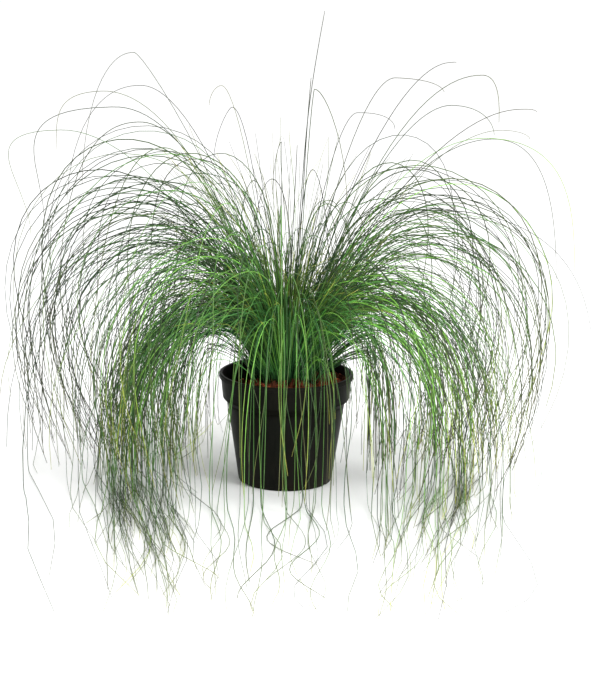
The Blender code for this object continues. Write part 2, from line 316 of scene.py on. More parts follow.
# %% Cut the drainage
DRAINS = 6
DRAIN_RADIUS = 0.0045
DRAIN_AT = 0.044
DRAIN_SIDES = 32
CHANNEL = (0.020, 0.063, 0.008, 0.002)  # where it starts and ends, its width and its depth
SHARP_ANGLE = 38


def drain_cutters():
    start, end, width, depth = CHANNEL
    along = Matrix.Translation(((start + end) / 2, 0, 0))
    box = along @ Matrix.Diagonal((end - start, width, 2 * depth, 1))
    turns = [Matrix.Rotation(math.tau * (number + 0.5) / DRAINS, 4, "Z") for number in range(DRAINS)]
    work = bmesh.new()
    for turn in turns:
        bmesh.ops.create_cube(work, size=1, matrix=turn @ box)
    channels = bpy.data.meshes.new("channels")
    work.to_mesh(channels)
    work.clear()
    for turn in turns:
        bmesh.ops.create_cone(
            work, cap_ends=True, segments=DRAIN_SIDES, radius1=DRAIN_RADIUS, radius2=DRAIN_RADIUS,
            depth=4 * BASE_THICK, matrix=turn @ Matrix.Translation((DRAIN_AT, 0, 0)),
        )
    holes = bpy.data.meshes.new("holes")
    work.to_mesh(holes)
    work.free()
    return channels, holes


def cut_away(piece, mesh):
    cutter = add_object(mesh.name, mesh)
    cut = piece.modifiers.new(mesh.name, "BOOLEAN")
    cut.operation = "DIFFERENCE"
    cut.object = cutter
    bpy.context.view_layer.update()
    result = bpy.data.meshes.new_from_object(piece.evaluated_get(bpy.context.evaluated_depsgraph_get()))
    piece.modifiers.clear()
    piece.data = result
    bpy.data.objects.remove(cutter)


for cutter_mesh in drain_cutters():
    cut_away(pot, cutter_mesh)
sharp = pot.modifiers.new("Crisp edges", "EDGE_SPLIT")
sharp.split_angle = math.radians(SHARP_ANGLE)
print("pot after cutting:", len(pot.data.polygons), "faces")

# %% [markdown]
# ## The soil's colour
#
# The pot is filled with composted bark and peat: reddish brown, dull, with darker damp patches. One shader
# serves the soil's surface and its crumbs. Where a crumb carries its own tone, that shifts the colour.

# %% Soil finish


def soil_finish():
    material, tree, surface = start_material("bark_compost", {"Roughness": 0.92, "Specular IOR Level": 0.2})
    place = read_place(tree)
    colour = add_ramp(tree, add_noise(tree, place, 160.0, 6.0), [
        (0.30, (0.030, 0.010, 0.0055)), (0.48, (0.110, 0.028, 0.012)), (0.62, (0.210, 0.052, 0.020)),
        (0.80, (0.340, 0.120, 0.050)),
    ])
    tone = read_attribute(tree, "tone")
    shift = add_ramp(tree, tone, [(0.0, (0.45,) * 3), (0.55, (1.0,) * 3), (1.0, (2.2, 1.9, 1.6))])
    bump = add_bump(tree, add_noise(tree, place, 900.0, 4.0), 0.8, 0.0006)
    set_sockets(tree, surface, {"Base Color": tint(tree, colour, shift), "Normal": bump})
    return material


compost = soil_finish()
print("made", compost.name)

# %% [markdown]
# ## Lumpy soil
#
# Loose compost has lumps of every size. A sum of many cosine waves with scattered directions and phases
# gives such a surface for whole arrays of points at once: long waves are high, short waves are low. It shapes
# the top of a plug that fills the pot, and on the left, beside the crown, water has washed the soil down.

# %% Soil plug
chance = np.random.default_rng(11)
SOIL_LEVEL = 0.129
SOIL_RADIUS = 0.0803
SOIL_SIDES = 150
EDGE_WIDTH = 0.008
LUMP_HEIGHT = 0.0014
LUMPS_SUNK = 0.0015
WASHED_DOWN = 0.014
WASHED_LEFT = (0.022, 0.030)  # how far to the left the wash starts, and over what width it deepens
WASHED_OUT = (0.038, 0.016)  # the same, outwards from the crown
WAVES = 60
SHORTEST_WAVE = 0.004
wave_length = SHORTEST_WAVE * 8 ** chance.random(WAVES)
wave_angle = chance.uniform(0, math.tau, WAVES)
wave_phase = chance.uniform(0, math.tau, WAVES)


def smooth_step(value):
    """0 below 0, 1 above 1, and 3v^2 - 2v^3 between."""
    value = np.clip(value, 0, 1)
    return value * value * (3 - 2 * value)


def lumps(x, y):
    """Sum over the waves of height times cos(2 pi (x cos a + y sin a) / length + phase)."""
    across = x[..., None] * np.cos(wave_angle) + y[..., None] * np.sin(wave_angle)
    height = LUMP_HEIGHT * (wave_length / wave_length.max()) ** 0.8
    return (height * np.cos(math.tau * across / wave_length + wave_phase)).sum(axis=-1)


SOIL_OUTLINE = [(radius, SOIL_LEVEL) for radius in np.linspace(0, SOIL_RADIUS, 60)]
SOIL_OUTLINE += [(0.0779, SHOULDER_TOP), (0.0720, SHOULDER_LOW), (0.0565, 0.0045), (0.0, 0.0045)]


def soil_height(x, y):
    """Soil level, plus the lumps, less where water has washed it down: beside the crown on the left."""
    (left, widening), (out, deepening) = WASHED_LEFT, WASHED_OUT
    washed = smooth_step((-x - left) / widening) * smooth_step((np.hypot(x, y) - out) / deepening)
    return SOIL_LEVEL - LUMPS_SUNK + lumps(x, y) - WASHED_DOWN * washed


def soil_points(outline, sides):
    """A turned outline whose top takes the soil's height, with the lumps flatter where it meets the wall."""
    points = turn_outline(np.array(outline), sides)
    x, y, z = np.moveaxis(points, -1, 0)
    top = z > SOIL_LEVEL - 1e-6
    edge = np.clip((SOIL_RADIUS - np.hypot(x, y)) / EDGE_WIDTH, 0.25, 1)
    points[..., 2] = np.where(top, soil_height(x, y) - lumps(x, y) * (1 - edge), z)
    return points


soil_faces = grid_faces(len(SOIL_OUTLINE), SOIL_SIDES)
soil = new_piece("compost_plug", soil_points(SOIL_OUTLINE, SOIL_SIDES), soil_faces, compost)
tidy_mesh(soil)
give_points(soil, "tone", np.full(len(soil.data.vertices), 0.4))
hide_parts("soil")
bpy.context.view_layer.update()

# %% [markdown]
# ## Bark chips and crumbs
#
# On the surface lie flat chips of bark, rounder crumbs of peat and a few pale grains. Each is the same small
# ball of faces, stretched to its own length, width and thickness, roughened, turned and laid on the lumps.

# %% Crumbs
BALL_RINGS = 4
BALL_SIDES = 6
FROM_WALL = 0.004
RESTS_AT = 0.25  # height of a crumb's middle above the soil, as a share of its thickness


def small_ball():
    """Unit ball: (sin p cos a, sin p sin a, cos p) on a coarse grid of p and a."""
    polar = np.linspace(0.35, math.pi - 0.35, BALL_RINGS)[:, None]
    around = np.linspace(0, math.tau, BALL_SIDES, endpoint=False)[None, :]
    out, up = np.sin(polar), np.cos(polar) + 0 * around
    return np.stack([out * np.cos(around), out * np.sin(around), up], -1).reshape(-1, 3)


def scattered(count, length, width, thickness, rough, flat):
    """Balls scaled, roughened, turned by a random yaw and a slight pitch, and laid on the soil."""
    ball = small_ball()
    size = np.stack([chance.uniform(*limits, count) for limits in (length, width, thickness)])
    shape = ball[None] * (1 + rough * chance.normal(size=(count, len(ball), 1))) * size.T[:, None] / 2
    yaw, pitch = chance.uniform(0, math.tau, count)[:, None], chance.normal(0, flat, count)[:, None]
    x = shape[..., 0] * np.cos(pitch) + shape[..., 2] * np.sin(pitch)
    z = shape[..., 2] * np.cos(pitch) - shape[..., 0] * np.sin(pitch)
    radius = (SOIL_RADIUS - FROM_WALL) * np.sqrt(chance.random(count))
    angle = chance.uniform(0, math.tau, count)
    at_x, at_y = radius * np.cos(angle), radius * np.sin(angle)
    at_z = soil_height(at_x, at_y) + size[2] * RESTS_AT
    return np.stack([
        x * np.cos(yaw) - shape[..., 1] * np.sin(yaw) + at_x[:, None],
        x * np.sin(yaw) + shape[..., 1] * np.cos(yaw) + at_y[:, None],
        z + at_z[:, None],
    ], axis=-1)


def crumb_piece(name, points, material, tone):
    """One piece from many small bodies, each closed by a face at both poles, with a tone for each."""
    count, corners = points.shape[:2]
    faces = tube_faces(count, BALL_RINGS, BALL_SIDES, flipped=True)
    piece = new_piece(name, points, faces, material, smooth=False)
    give_points(piece, "tone", np.repeat(tone, corners))
    tidy_mesh(piece)
    print(name, "has", count, "bodies and", len(piece.data.polygons), "faces")


bark = scattered(420, (0.003, 0.010), (0.002, 0.0045), (0.0008, 0.0022), 0.10, 0.25)
peat = scattered(900, (0.0012, 0.0035), (0.0012, 0.003), (0.001, 0.0025), 0.16, 0.6)
crumb_piece("bark_chips", bark, compost, chance.uniform(0.25, 1.0, len(bark)))
crumb_piece("peat_crumbs", peat, compost, chance.uniform(0.1, 0.75, len(peat)))

# %% Pale grains


def grain_finish():
    material, tree, surface = start_material("pale_grit", {"Roughness": 0.8})
    colour = add_ramp(tree, add_noise(tree, read_place(tree), 500.0, 3.0), [
        (0.35, (0.30, 0.13, 0.07)), (0.55, (0.55, 0.42, 0.30)), (0.75, (0.75, 0.68, 0.58)),
    ])
    set_sockets(tree, surface, {"Base Color": colour})
    return material


grit = scattered(70, (0.0010, 0.0024), (0.0010, 0.0022), (0.0009, 0.0018), 0.14, 0.5)
crumb_piece("grit", grit, grain_finish(), np.ones(len(grit)))

# %% [markdown]
# ## The grass's colour
#
# A blade of this grass is rolled almost into a thread. At the soil it is a bluish green, above that a bright
# green, duller along its arch and olive at its tip. Blades also differ: old ones are dull and near black,
# young ones fresh, and that near black is painted shade, standing for blades seen against the light. So the
# colour follows the blade, by an attribute that runs from 0 at the soil to 1 at the tip, and each blade
# carries a tone and a share of the old, shaded colour of its own. The brightest tones are painted highlights,
# and blades to the right get lighter tones than those to the left as painted light. A blade's UV map gives
# the fine ribs along it.

# %% Blade finish


def blade_finish():
    material, tree, surface = start_material("grass_blade", {"Roughness": 0.42, "Specular IOR Level": 0.4})
    along, tone, dry_and_shade = (read_attribute(tree, name) for name in ("along", "tone", "dryness_and_shade"))
    fresh = add_ramp(tree, along, [
        (0.00, (0.045, 0.165, 0.065)), (0.14, (0.075, 0.300, 0.085)), (0.36, (0.095, 0.270, 0.045)),
        (0.60, (0.070, 0.200, 0.038)), (0.82, (0.105, 0.185, 0.032)), (1.00, (0.220, 0.260, 0.045)),
    ])
    # Old blades are dull, and the near-black middle of this colour stands for blades seen against the light:
    # painted shade.
    aged_and_shade = add_ramp(tree, along, [
        (0.00, (0.030, 0.110, 0.038)), (0.22, (0.030, 0.066, 0.017)), (0.50, (0.013, 0.021, 0.007)),
        (1.00, (0.030, 0.032, 0.016)),
    ])
    # High tones lift the colour to a pale lime that stands for glints: painted highlights. Low tones darken
    # it to a bluish green.
    shift = add_ramp(tree, tone, [
        (0.0, (0.22, 0.28, 0.36)), (0.5, (1.0,) * 3), (0.85, (2.0, 1.7, 1.3)), (1.0, (3.4, 2.9, 2.2)),
    ])
    colour = tint(tree, mix_colours(tree, dry_and_shade, fresh, aged_and_shade), shift)
    noise = add_noise(tree, read_place(tree), 45.0, 3.0)
    mottled = add_grey_ramp(tree, noise, [(0.35, 0.78), (0.65, 1.2)])
    ribbed = {"Vector": read_place(tree, "UV"), "Scale": 3.0, "Distortion": 0.4}
    ribs = add_node(tree, "ShaderNodeTexWave", ribbed, bands_direction="X").outputs["Fac"]
    bump = add_bump(tree, ribs, 0.35, 0.0002)
    set_sockets(tree, surface, {"Base Color": tint(tree, colour, mottled), "Normal": bump})
    return material


grass = blade_finish()
print("made", grass.name)

# %% [markdown]
# ## How a blade bends
#
# A blade starts upright, takes a lean, keeps it for a while and then bends over under its own weight until
# it hangs. That is one number along its length, its tilt from upright: 0 is straight up, 90 degrees is level,
# 180 hangs straight down. Its height is the running sum of the tilt's cosine, and its reach that of its sine.
# Working with the tilt keeps a blade smooth and its length known.

# %% Rings of tufts
RINGS = ("low", "middle", "high", "top")
FORM = {  # a value for each ring, in metres and degrees
    "tufts": (18, 13, 8, 5),
    "first": (10, 21, 8, -15),
    "planted": (0.0380, 0.0290, 0.0190, 0.0105),
    "lean": (23, 23, 20, 20),
    "right_lean": (0, 5, 5, 6),
    "lean_spread": (6, 6, 9, 9),
    "deep_lean": (0, 7, 7, 7),
    "straight": (0.043, 0.085, 0.112, 0.190),
    "bend": (0.41, 0.43, 0.52, 0.58),
    "early": (0.46, 0.50, 0.70, 0.80),
    "fall": (188, 194, 200, 202),
    "length": (0.48, 0.66, 0.84, 0.96),
    "size_spread": (0.050, 0.050, 0.060, 0.060),
    "less_deep": (0, 0, 0.24, 0.24),
    "to_right": (0.08, 0.08, 0.00, 0.00),
    "landing": (1, 0.5, 0.15, 0),
    "lowest": (0.016, 0.055, 0.040, 0.090),
    "width": (0.0010, 0.0010, 0.0012, 0.0014),
    "blades": (23, 46, 43, 37),
    "at_front": (0.16, 0.30, 0.34, 0.08),
    "at_back": (0.50, 0.85, 0.35, 0.08),
    "thinning": (1.2, 1.2, 2, 2),
    "more_left": (0.24, 0.14, 0.26, 0.22),
    # Share of blades in the old, near-black colour, which is partly painted shade: more in the outer rings.
    "aged_and_shade": (0.40, 0.52, 0.78, 0.95),
    "green_left": (0.65, 0.65, 0, 0),
}
RISE = 0.024
CROWN_BACK = 0.008
LANDING_RADIUS = 0.030
STEPS = 200


def running_sum(rates, steps):
    """The distance gone at each step of each row: the sum of mean rates times step lengths."""
    gone = np.cumsum((rates[:, 1:] + rates[:, :-1]) / 2 * np.diff(steps, axis=1), axis=1)
    return np.concatenate([np.zeros((len(gone), 1)), gone], axis=1)


def arch_tilt(blade, steps):
    """Lean times a smooth step over the rise, and the rest to the fall, mostly early, over the bend."""
    lean, fall = blade["lean"][:, None], blade["fall"][:, None]
    bending = np.clip((steps - blade["straight"][:, None]) / blade["bend"][:, None], 0, 1)
    tilt = lean * smooth_step(steps / RISE) + (fall - lean) * smooth_step(bending ** blade["early"][:, None])
    waving = np.sin(steps * blade["wave_rate"][:, None] + blade["phase"][:, None])
    return tilt + blade["wave"][:, None] * waving


def landing_step(blade, tilt, steps):
    """How far along each blade comes down to its lowest height, allowing for the arc that lays it flat."""
    height = SOIL_LEVEL + running_sum(np.cos(tilt), steps)
    dive = np.clip(tilt - math.pi / 2, 0, None)
    rounding = LANDING_RADIUS * (1 - np.cos(dive)) * blade["lands"][:, None]
    low = (height - blade["lowest"][:, None] < rounding) & (dive > 0)
    first = np.where(low.any(axis=1), low.argmax(axis=1), steps.shape[1] - 1)
    return np.take_along_axis(steps, first[:, None], axis=1)


print("tufts in each ring:", dict(zip(RINGS, FORM["tufts"])))

# %% [markdown]
# ## Where a blade goes
#
# The tilt gives the blade's shape in its own upright plane. Its heading, the compass direction in which it
# leans, places it in the clump. The blades that reach the ground swing towards the front as they land, or
# towards the back if they hang well behind the clump, and lie there in loose curls. All blades also sway from
# side to side, more towards the tip.

# %% Blade lines
TURN_BEFORE = 0.060
TURN_LENGTH = 0.085
GROUND_FAN = -0.10
BACK_SINE = 0.3
SIDE_PULL = 12
DRIFT_LENGTH = 0.3
CURL_LENGTH = 0.05


def turned(angle):
    """The same angle as a turn of at most half a circle either way."""
    return (angle + math.pi) % math.tau - math.pi


def ground_heading(azimuth, stray):
    """To the front, or to the back for what is well behind, drawn in a little and straying a little."""
    towards = np.where(np.sin(azimuth) > BACK_SINE, math.pi / 2, -math.pi / 2)
    return towards + GROUND_FAN * turned(azimuth - towards) + stray


def blade_heading(blade, steps, landing):
    """Azimuth, plus drift, plus a smooth turn to the ground's heading at landing, plus a curl after it."""
    azimuth = blade["azimuth"][:, None]
    pulled = azimuth - math.radians(SIDE_PULL) * np.sin(2 * azimuth)
    heading = pulled + blade["drift"][:, None] * smooth_step(steps / DRIFT_LENGTH)
    turn = turned(ground_heading(azimuth, blade["stray"][:, None]) - heading)
    lying = np.clip(steps - landing, 0, None)
    curl = blade["curl"][:, None] * np.sin(lying * blade["curl_rate"][:, None])
    curl *= smooth_step(lying / CURL_LENGTH)
    landed = turn * smooth_step((steps - landing + TURN_BEFORE) / TURN_LENGTH) + curl
    return heading + landed * blade["lands"][:, None]


def blade_lines(blade):
    """Steps, points and headings: running sums of sin(tilt) along the heading, and of cos(tilt) upwards."""
    share = np.linspace(0, 1, STEPS)[None, :]
    steps = blade["length"][:, None] * share
    landing = landing_step(blade, arch_tilt(blade, steps), steps)
    length = np.where(blade["lands"], blade["length"], landing[:, 0])
    steps = length[:, None] * share
    tilt = arch_tilt(blade, steps)
    landing = landing_step(blade, tilt, steps)
    at_landing = np.take_along_axis(tilt, (steps >= landing).argmax(axis=1)[:, None], axis=1)
    laid = np.maximum(at_landing - (steps - landing) / LANDING_RADIUS, math.pi / 2)
    tilt = np.where((steps > landing) & blade["lands"][:, None], laid, tilt)
    heading = blade_heading(blade, steps, landing)
    swaying = np.sin(steps * blade["sway_rate"][:, None] + 2 * blade["phase"][:, None])
    sway = blade["sway"][:, None] * share**2 * swaying
    across = np.sin(tilt)
    x = running_sum(across * np.cos(heading) - sway * np.sin(heading), steps)
    y = running_sum(across * np.sin(heading) + sway * np.cos(heading), steps)
    z = SOIL_LEVEL + running_sum(np.cos(tilt), steps)
    start_x = blade["planted"] * np.cos(blade["azimuth"])
    start_y = blade["planted"] * np.sin(blade["azimuth"]) + CROWN_BACK
    z = np.where(blade["lands"][:, None], np.maximum(z, blade["lowest"][:, None]), z)
    return steps, np.stack([start_x[:, None] + x, start_y[:, None] + y, z], axis=-1), heading


# %% [markdown]
# ## From a line to a blade
#
# Each line is cut into short lengths, shorter where it bends, so that few faces still give a smooth arch. At
# each cut stands a small triangle with its keel up: widest a little way up the blade, and half as wide at the
# tip. Joining them gives a closed three-sided blade: 74 faces for most, 122 for the single long ones.

# %% Blade meshes
CUTS = 24
FINE_CUTS = 40
BEND_WEIGHT = 0.50
CROSS_SECTION = [(math.cos(turn), math.sin(turn)) for turn in np.radians((-30, 90, 210))]


def unit(vectors):
    """The same directions at length 1."""
    return vectors / (np.linalg.norm(vectors, axis=-1, keepdims=True) + 1e-12)


def cut_lines(steps, points, heading, cuts):
    """Even marks on a measure that grows with length and with turning, read back by one interpolation."""
    count, total = steps.shape
    direction = unit(np.diff(points, axis=1))
    turning = np.arccos(np.clip((direction[:, 1:] * direction[:, :-1]).sum(axis=2), -1, 1))
    turned_so_far = np.cumsum(np.concatenate([np.zeros((count, 2)), turning], axis=1), axis=1)
    measure = steps / steps[:, -1:] + BEND_WEIGHT * turned_so_far
    marks = measure[:, -1:] * np.linspace(0, 1, cuts + 1)
    row = np.arange(count)[:, None] * 100.0
    index = np.interp((marks + row).ravel(), (measure + row).ravel(), np.arange(count * total))
    index = index.reshape(count, -1)
    low = np.clip(np.floor(index).astype(int), 0, count * total - 2)
    part = (index - low)[..., None]
    along = steps / steps[:, -1:]
    flat = np.concatenate([points, heading[..., None], along[..., None]], axis=2).reshape(-1, 5)
    cut = flat[low] * (1 - part) + flat[low + 1] * part
    return cut[..., :3], cut[..., 3], cut[..., 4]


def blade_width(along):
    """Share of the full width: swells over the first tenth, thins with the 0.3rd power of what is left."""
    return (0.75 + 0.25 * smooth_step(along / 0.1)) * (0.5 + 0.5 * np.clip(1 - along, 0, 1) ** 0.3)


def blade_corners(points, heading, along, width):
    """Three corners at each cut, a third of a turn apart at a radius of half a width: left, keel, right."""
    left = np.stack([-np.sin(heading), np.cos(heading), 0 * heading], axis=-1)
    above = unit(np.cross(unit(np.gradient(points, axis=1)), left))
    radius = (width[:, None] * blade_width(along) / 2)[..., None]
    corners = [points + radius * (c * left + s * above) for c, s in CROSS_SECTION]
    return np.stack(corners, axis=2)


def blade_piece(name, node, blade, lines, cuts=CUTS):
    """One piece that stands for one tuft: all its blades, with their attributes and a UV map."""
    points, heading, along = cut_lines(*lines, cuts)
    corners = blade_corners(points, heading, along, blade["width"])
    piece = new_piece(name, corners, tube_faces(len(corners), cuts + 1, 3), grass)
    along = np.repeat(along.ravel(), 3)
    give_points(piece, "along", along)
    for key in ("tone", "dryness_and_shade"):
        give_points(piece, key, np.repeat(blade[key], (cuts + 1) * 3))
    corner = np.empty(len(piece.data.loops), int)
    piece.data.loops.foreach_get("vertex_index", corner)
    uv = np.stack([(corner % 3) / 3, along[corner]], axis=1)
    piece.data.uv_layers.new(name="blade_uv").data.foreach_set("uv", uv.ravel())
    if node:
        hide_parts(node)


# %% [markdown]
# ## Growing the rings
#
# The tufts stand in four rings, and each has its own form. A blade takes a form somewhere between its ring's
# and a neighbour's, and a direction near its tuft's, so the clump looks grown and not planted in circles.
# Fewer blades come over the front, where the pot shows through. Blades that would run into the pot are left
# out, and so are most of those that would hang in the open space just beside it.

# %% Scatter the blades


def compass(azimuth):
    sides = ("right", "back_right", "back", "back_left", "left", "front_left", "front", "front_right")
    return sides[round(math.degrees(azimuth) / 45) % 8]


def between_rings(key, rank):
    return np.interp(rank, np.arange(len(RINGS)), FORM[key])


LOCKS = 4
RANK_SPREAD, RANK_LIMIT = 0.42, 0.7
WAY_SPREAD = 0.45
LESS_LEAN, STRAIGHTER, TIGHTER = 14, 0.030, 0.050  # for the lowest blades at the front
BACK_LANDING = 0.4
MIDDLE_TONE = 0.45


class Scatter:
    """Random values for the blades of a tuft: most of each is shared by the lock that a blade is in."""

    def __init__(self, count):
        self.count = count
        self.lock = chance.integers(0, LOCKS, count)

    def normal(self, spread, own=0.45):
        shared = chance.normal(0, spread, LOCKS)[self.lock]
        return math.sqrt(1 - own**2) * shared + own * chance.normal(0, spread, self.count)

    def looks(self, aged_and_shade, tone):
        """A blade is either fresh or old, with little between, and has a tone of its own; the old colour is
        partly painted shade.
        """
        old_and_shaded = chance.random(self.count) < aged_and_shade + self.normal(0.25)
        dryness_and_shade = np.where(old_and_shaded, chance.uniform(0.72, 1.0, self.count), chance.uniform(0.0, 0.3, self.count))
        return {"dryness_and_shade": dryness_and_shade, "tone": np.clip(MIDDLE_TONE + self.normal(0.32, own=0.9) + tone, 0, 1)}


def make_blades(ring, azimuth, count):
    """One value for each blade: its ring's form, shifted towards its neighbours', and its own chance."""
    scatter = Scatter(count)
    rank = ring + np.clip(scatter.normal(RANK_SPREAD, own=0.7), -RANK_LIMIT, RANK_LIMIT)
    way = azimuth + math.tau / FORM["tufts"][ring] * scatter.normal(WAY_SPREAD)
    front, left, deep = np.clip(-np.sin(way), 0, 1), np.clip(-np.cos(way), 0, 1), np.abs(np.sin(way))
    drooping = front**2 * (ring == 0)
    strays = scatter.normal(FORM["size_spread"][ring])
    reach = 1 + between_rings("to_right", rank) * np.cos(way) + strays - FORM["less_deep"][ring] * deep**3
    lowest = np.maximum(between_rings("lowest", rank) * chance.uniform(0.3, 1.6, count), 0.002)
    lean = between_rings("lean", rank) + between_rings("right_lean", rank) * np.clip(np.cos(way), 0, 1)
    lands = chance.random(count) < FORM["landing"][ring] * np.where(np.sin(way) > BACK_SINE, BACK_LANDING, 1)
    aged_and_shade = FORM["aged_and_shade"][ring] * (1 - 0.5 * front) * (1 - FORM["green_left"][ring] * left)
    longer = np.where(lands, (0.82 + 0.85 * chance.random(count) ** 2) * (1 + 0.35 * front), 1)
    return {
        "azimuth": way,
        "planted": between_rings("planted", rank) * chance.uniform(0.5, 1.12, count) * (1 - 0.4 * front),
        "lean": np.radians(
            lean + scatter.normal(FORM["lean_spread"][ring], own=0.7) - LESS_LEAN * drooping
            + FORM["deep_lean"][ring] * deep
        ),
        "fall": np.radians(between_rings("fall", rank) + scatter.normal(8, own=0.7)),
        "straight": between_rings("straight", rank) * reach + STRAIGHTER * drooping,
        "bend": between_rings("bend", rank) * reach * (1 + scatter.normal(0.10)) - TIGHTER * drooping,
        "early": between_rings("early", rank),
        "length": between_rings("length", rank) * longer * chance.normal(1, 0.09, count),
        "lowest": np.where(lands, chance.uniform(0.0016, 0.005, count), lowest),
        "lands": lands,
        "drift": scatter.normal(0.24),
        "stray": scatter.normal(0.030) - 0.3 * strays * np.cos(way),
        "curl": chance.normal(0, 0.05, count) * (1 + front),
        "curl_rate": math.tau / chance.uniform(0.24, 0.40, count),
        "wave": chance.uniform(0, 0.10, count),
        "wave_rate": math.tau / chance.uniform(0.4, 0.9, count),
        "sway": chance.normal(0, 0.20, count),
        "sway_rate": math.tau / chance.uniform(0.30, 0.6, count),
        "phase": chance.uniform(0, math.tau, count),
        "width": between_rings("width", rank) * chance.uniform(0.7, 1.3, count),
        # The cos term lifts the tone of blades leaning to the right and lowers it on the left: painted light
        # from the right.
        **scatter.looks(aged_and_shade, 0.12 * np.cos(way) + 0.06 + 0.05 * front),
    }


GAP_BESIDE_POT = (0.080, 0.100)
GAP_TOP = 0.12
KEPT_IN_GAP = 0.35
OUTSIDE_RIM, ABOVE_RIM, INSIDE_BAND = 0.003, 0.002, 0.006
BOX_ROOM = 0.012
TALLEST = 0.545


def past_box(points):
    low, high = np.array(solid_box[0]) - BOX_ROOM, np.array(solid_box[1]) + BOX_ROOM
    return ((points < low) | (points > high)).any(axis=2)


def kept_blades(points):
    """False for blades inside the pot or past the solids' box, and for most in the gap beside the pot."""
    x, y, z = np.moveaxis(points, -1, 0)
    falling = np.arange(points.shape[1]) > z.argmax(axis=1)[:, None]
    radius = np.hypot(x, y)
    at_pot = (radius < RIM + OUTSIDE_RIM) & (z < POT_HEIGHT + ABOVE_RIM)
    hits = at_pot & (falling | (radius > BAND_TOP - INSIDE_BAND))
    beside = (np.abs(x) > GAP_BESIDE_POT[0]) & (np.abs(x) < GAP_BESIDE_POT[1]) & (z < GAP_TOP)
    outside = past_box(points) | (z > TALLEST)
    allowed = chance.random(len(x)) < KEPT_IN_GAP
    return ~(hits | outside).any(axis=1) & (~beside.any(axis=1) | allowed)


def cut_at_box(blade):
    """Blades that lie on the ground are cut to the length at which they would leave the solids' box."""
    steps, points, _ = blade_lines(blade)
    past = past_box(points) & blade["lands"][:, None]
    first = np.where(past.any(axis=1), past.argmax(axis=1), STEPS - 1)
    blade["length"] = np.take_along_axis(steps, first[:, None], axis=1)[:, 0]
    return blade


def grow_piece(name, node, blade, cuts=CUTS):
    """A piece from those of the blades that are kept, and how many they are."""
    lines = blade_lines(cut_at_box(blade))
    keep = kept_blades(lines[1])
    blade = {key: values[keep] for key, values in blade.items()}
    blade_piece(name, node, blade, [line[keep] for line in lines], cuts)
    return keep.sum()


def grow_tuft(ring, azimuth, node):
    """Fewer blades where the tuft leans to the front or the back, and more on the left than on the right."""
    side = abs(math.cos(azimuth))
    fewest = FORM["at_front" if math.sin(azimuth) < 0 else "at_back"][ring]
    share = fewest + (1 - fewest) * side ** FORM["thinning"][ring]
    share *= 1 - FORM["more_left"][ring] * math.cos(azimuth)
    return grow_piece(f"{node}_blades", node, make_blades(ring, azimuth, round(FORM["blades"][ring] * share)))


# %% Grow
named = {}
for ring, ring_name in enumerate(RINGS):
    grown = 0
    for number in range(FORM["tufts"][ring]):
        azimuth = math.radians(FORM["first"][ring]) + math.tau * number / FORM["tufts"][ring]
        side = f"{ring_name}_tuft_{compass(azimuth)}"
        named[side] = named.get(side, 0) + 1
        grown += grow_tuft(ring, azimuth, f"{side}_{named[side]}")
    print("ring", ring_name, "has", grown, "blades")

# %% [markdown]
# ## The crown's own blades
#
# Between the arching blades stand the short ones of the year, steep in the middle and leaning at the edge.
# They make the crown dense, and among them stand longer ones that are still steep. A looser sheaf springs
# from its middle, comes over its front and falls past the pot. All are made as the rings are, and only the
# values that make them different are set again.

# %% Young blades and front sheaf
YOUNG, YOUNG_CUTS = 480, 8
STEEP, STEEP_CUTS = 170, 10
YOUNG_FORM = {"planted": 0.038, "lean": 34, "bends": (20, 90), "length": (0.10, 0.19), "dryness_and_shade": (0.0, 0.35)}
STEEP_FORM = {"planted": 0.026, "lean": 30, "bends": (5, 50), "length": (0.17, 0.34), "dryness_and_shade": (0.1, 0.9)}


def crown_blades(count, planted, lean, bends, length, dryness_and_shade):
    """Blades spread evenly over the crown, from upright in its middle to the full lean at its edge."""
    blade = make_blades(2, 0.0, count)
    from_middle = np.sqrt(chance.random(count))
    tilt = lean * from_middle**2 + chance.normal(0, 5, count)
    blade["azimuth"] = chance.uniform(0, math.tau, count)
    blade["planted"] = planted * from_middle
    blade["lean"], blade["fall"] = np.radians(tilt), np.radians(tilt + chance.uniform(*bends, count))
    blade["straight"] = np.full(count, 0.05)
    blade["bend"] = blade["length"] = chance.uniform(*length, count)
    blade["early"] = np.ones(count)
    blade["lands"] = np.zeros(count, bool)
    blade["dryness_and_shade"] = chance.uniform(*dryness_and_shade, count)
    # A wide spread of tone gives some crown blades the brightest tones, the painted highlights of the tone
    # ramp.
    blade["tone"] = np.clip(chance.normal(0.54, 0.38, count), 0, 1)
    blade["width"] = chance.uniform(0.0007, 0.0011, count)
    return blade


FRONT_SHEAF = 60
TO_THE_RIGHT = 0.18
RIGHT_WAY = (-62, 16)  # its middle and spread, in degrees
LEFT_WAY = (-116, 21)


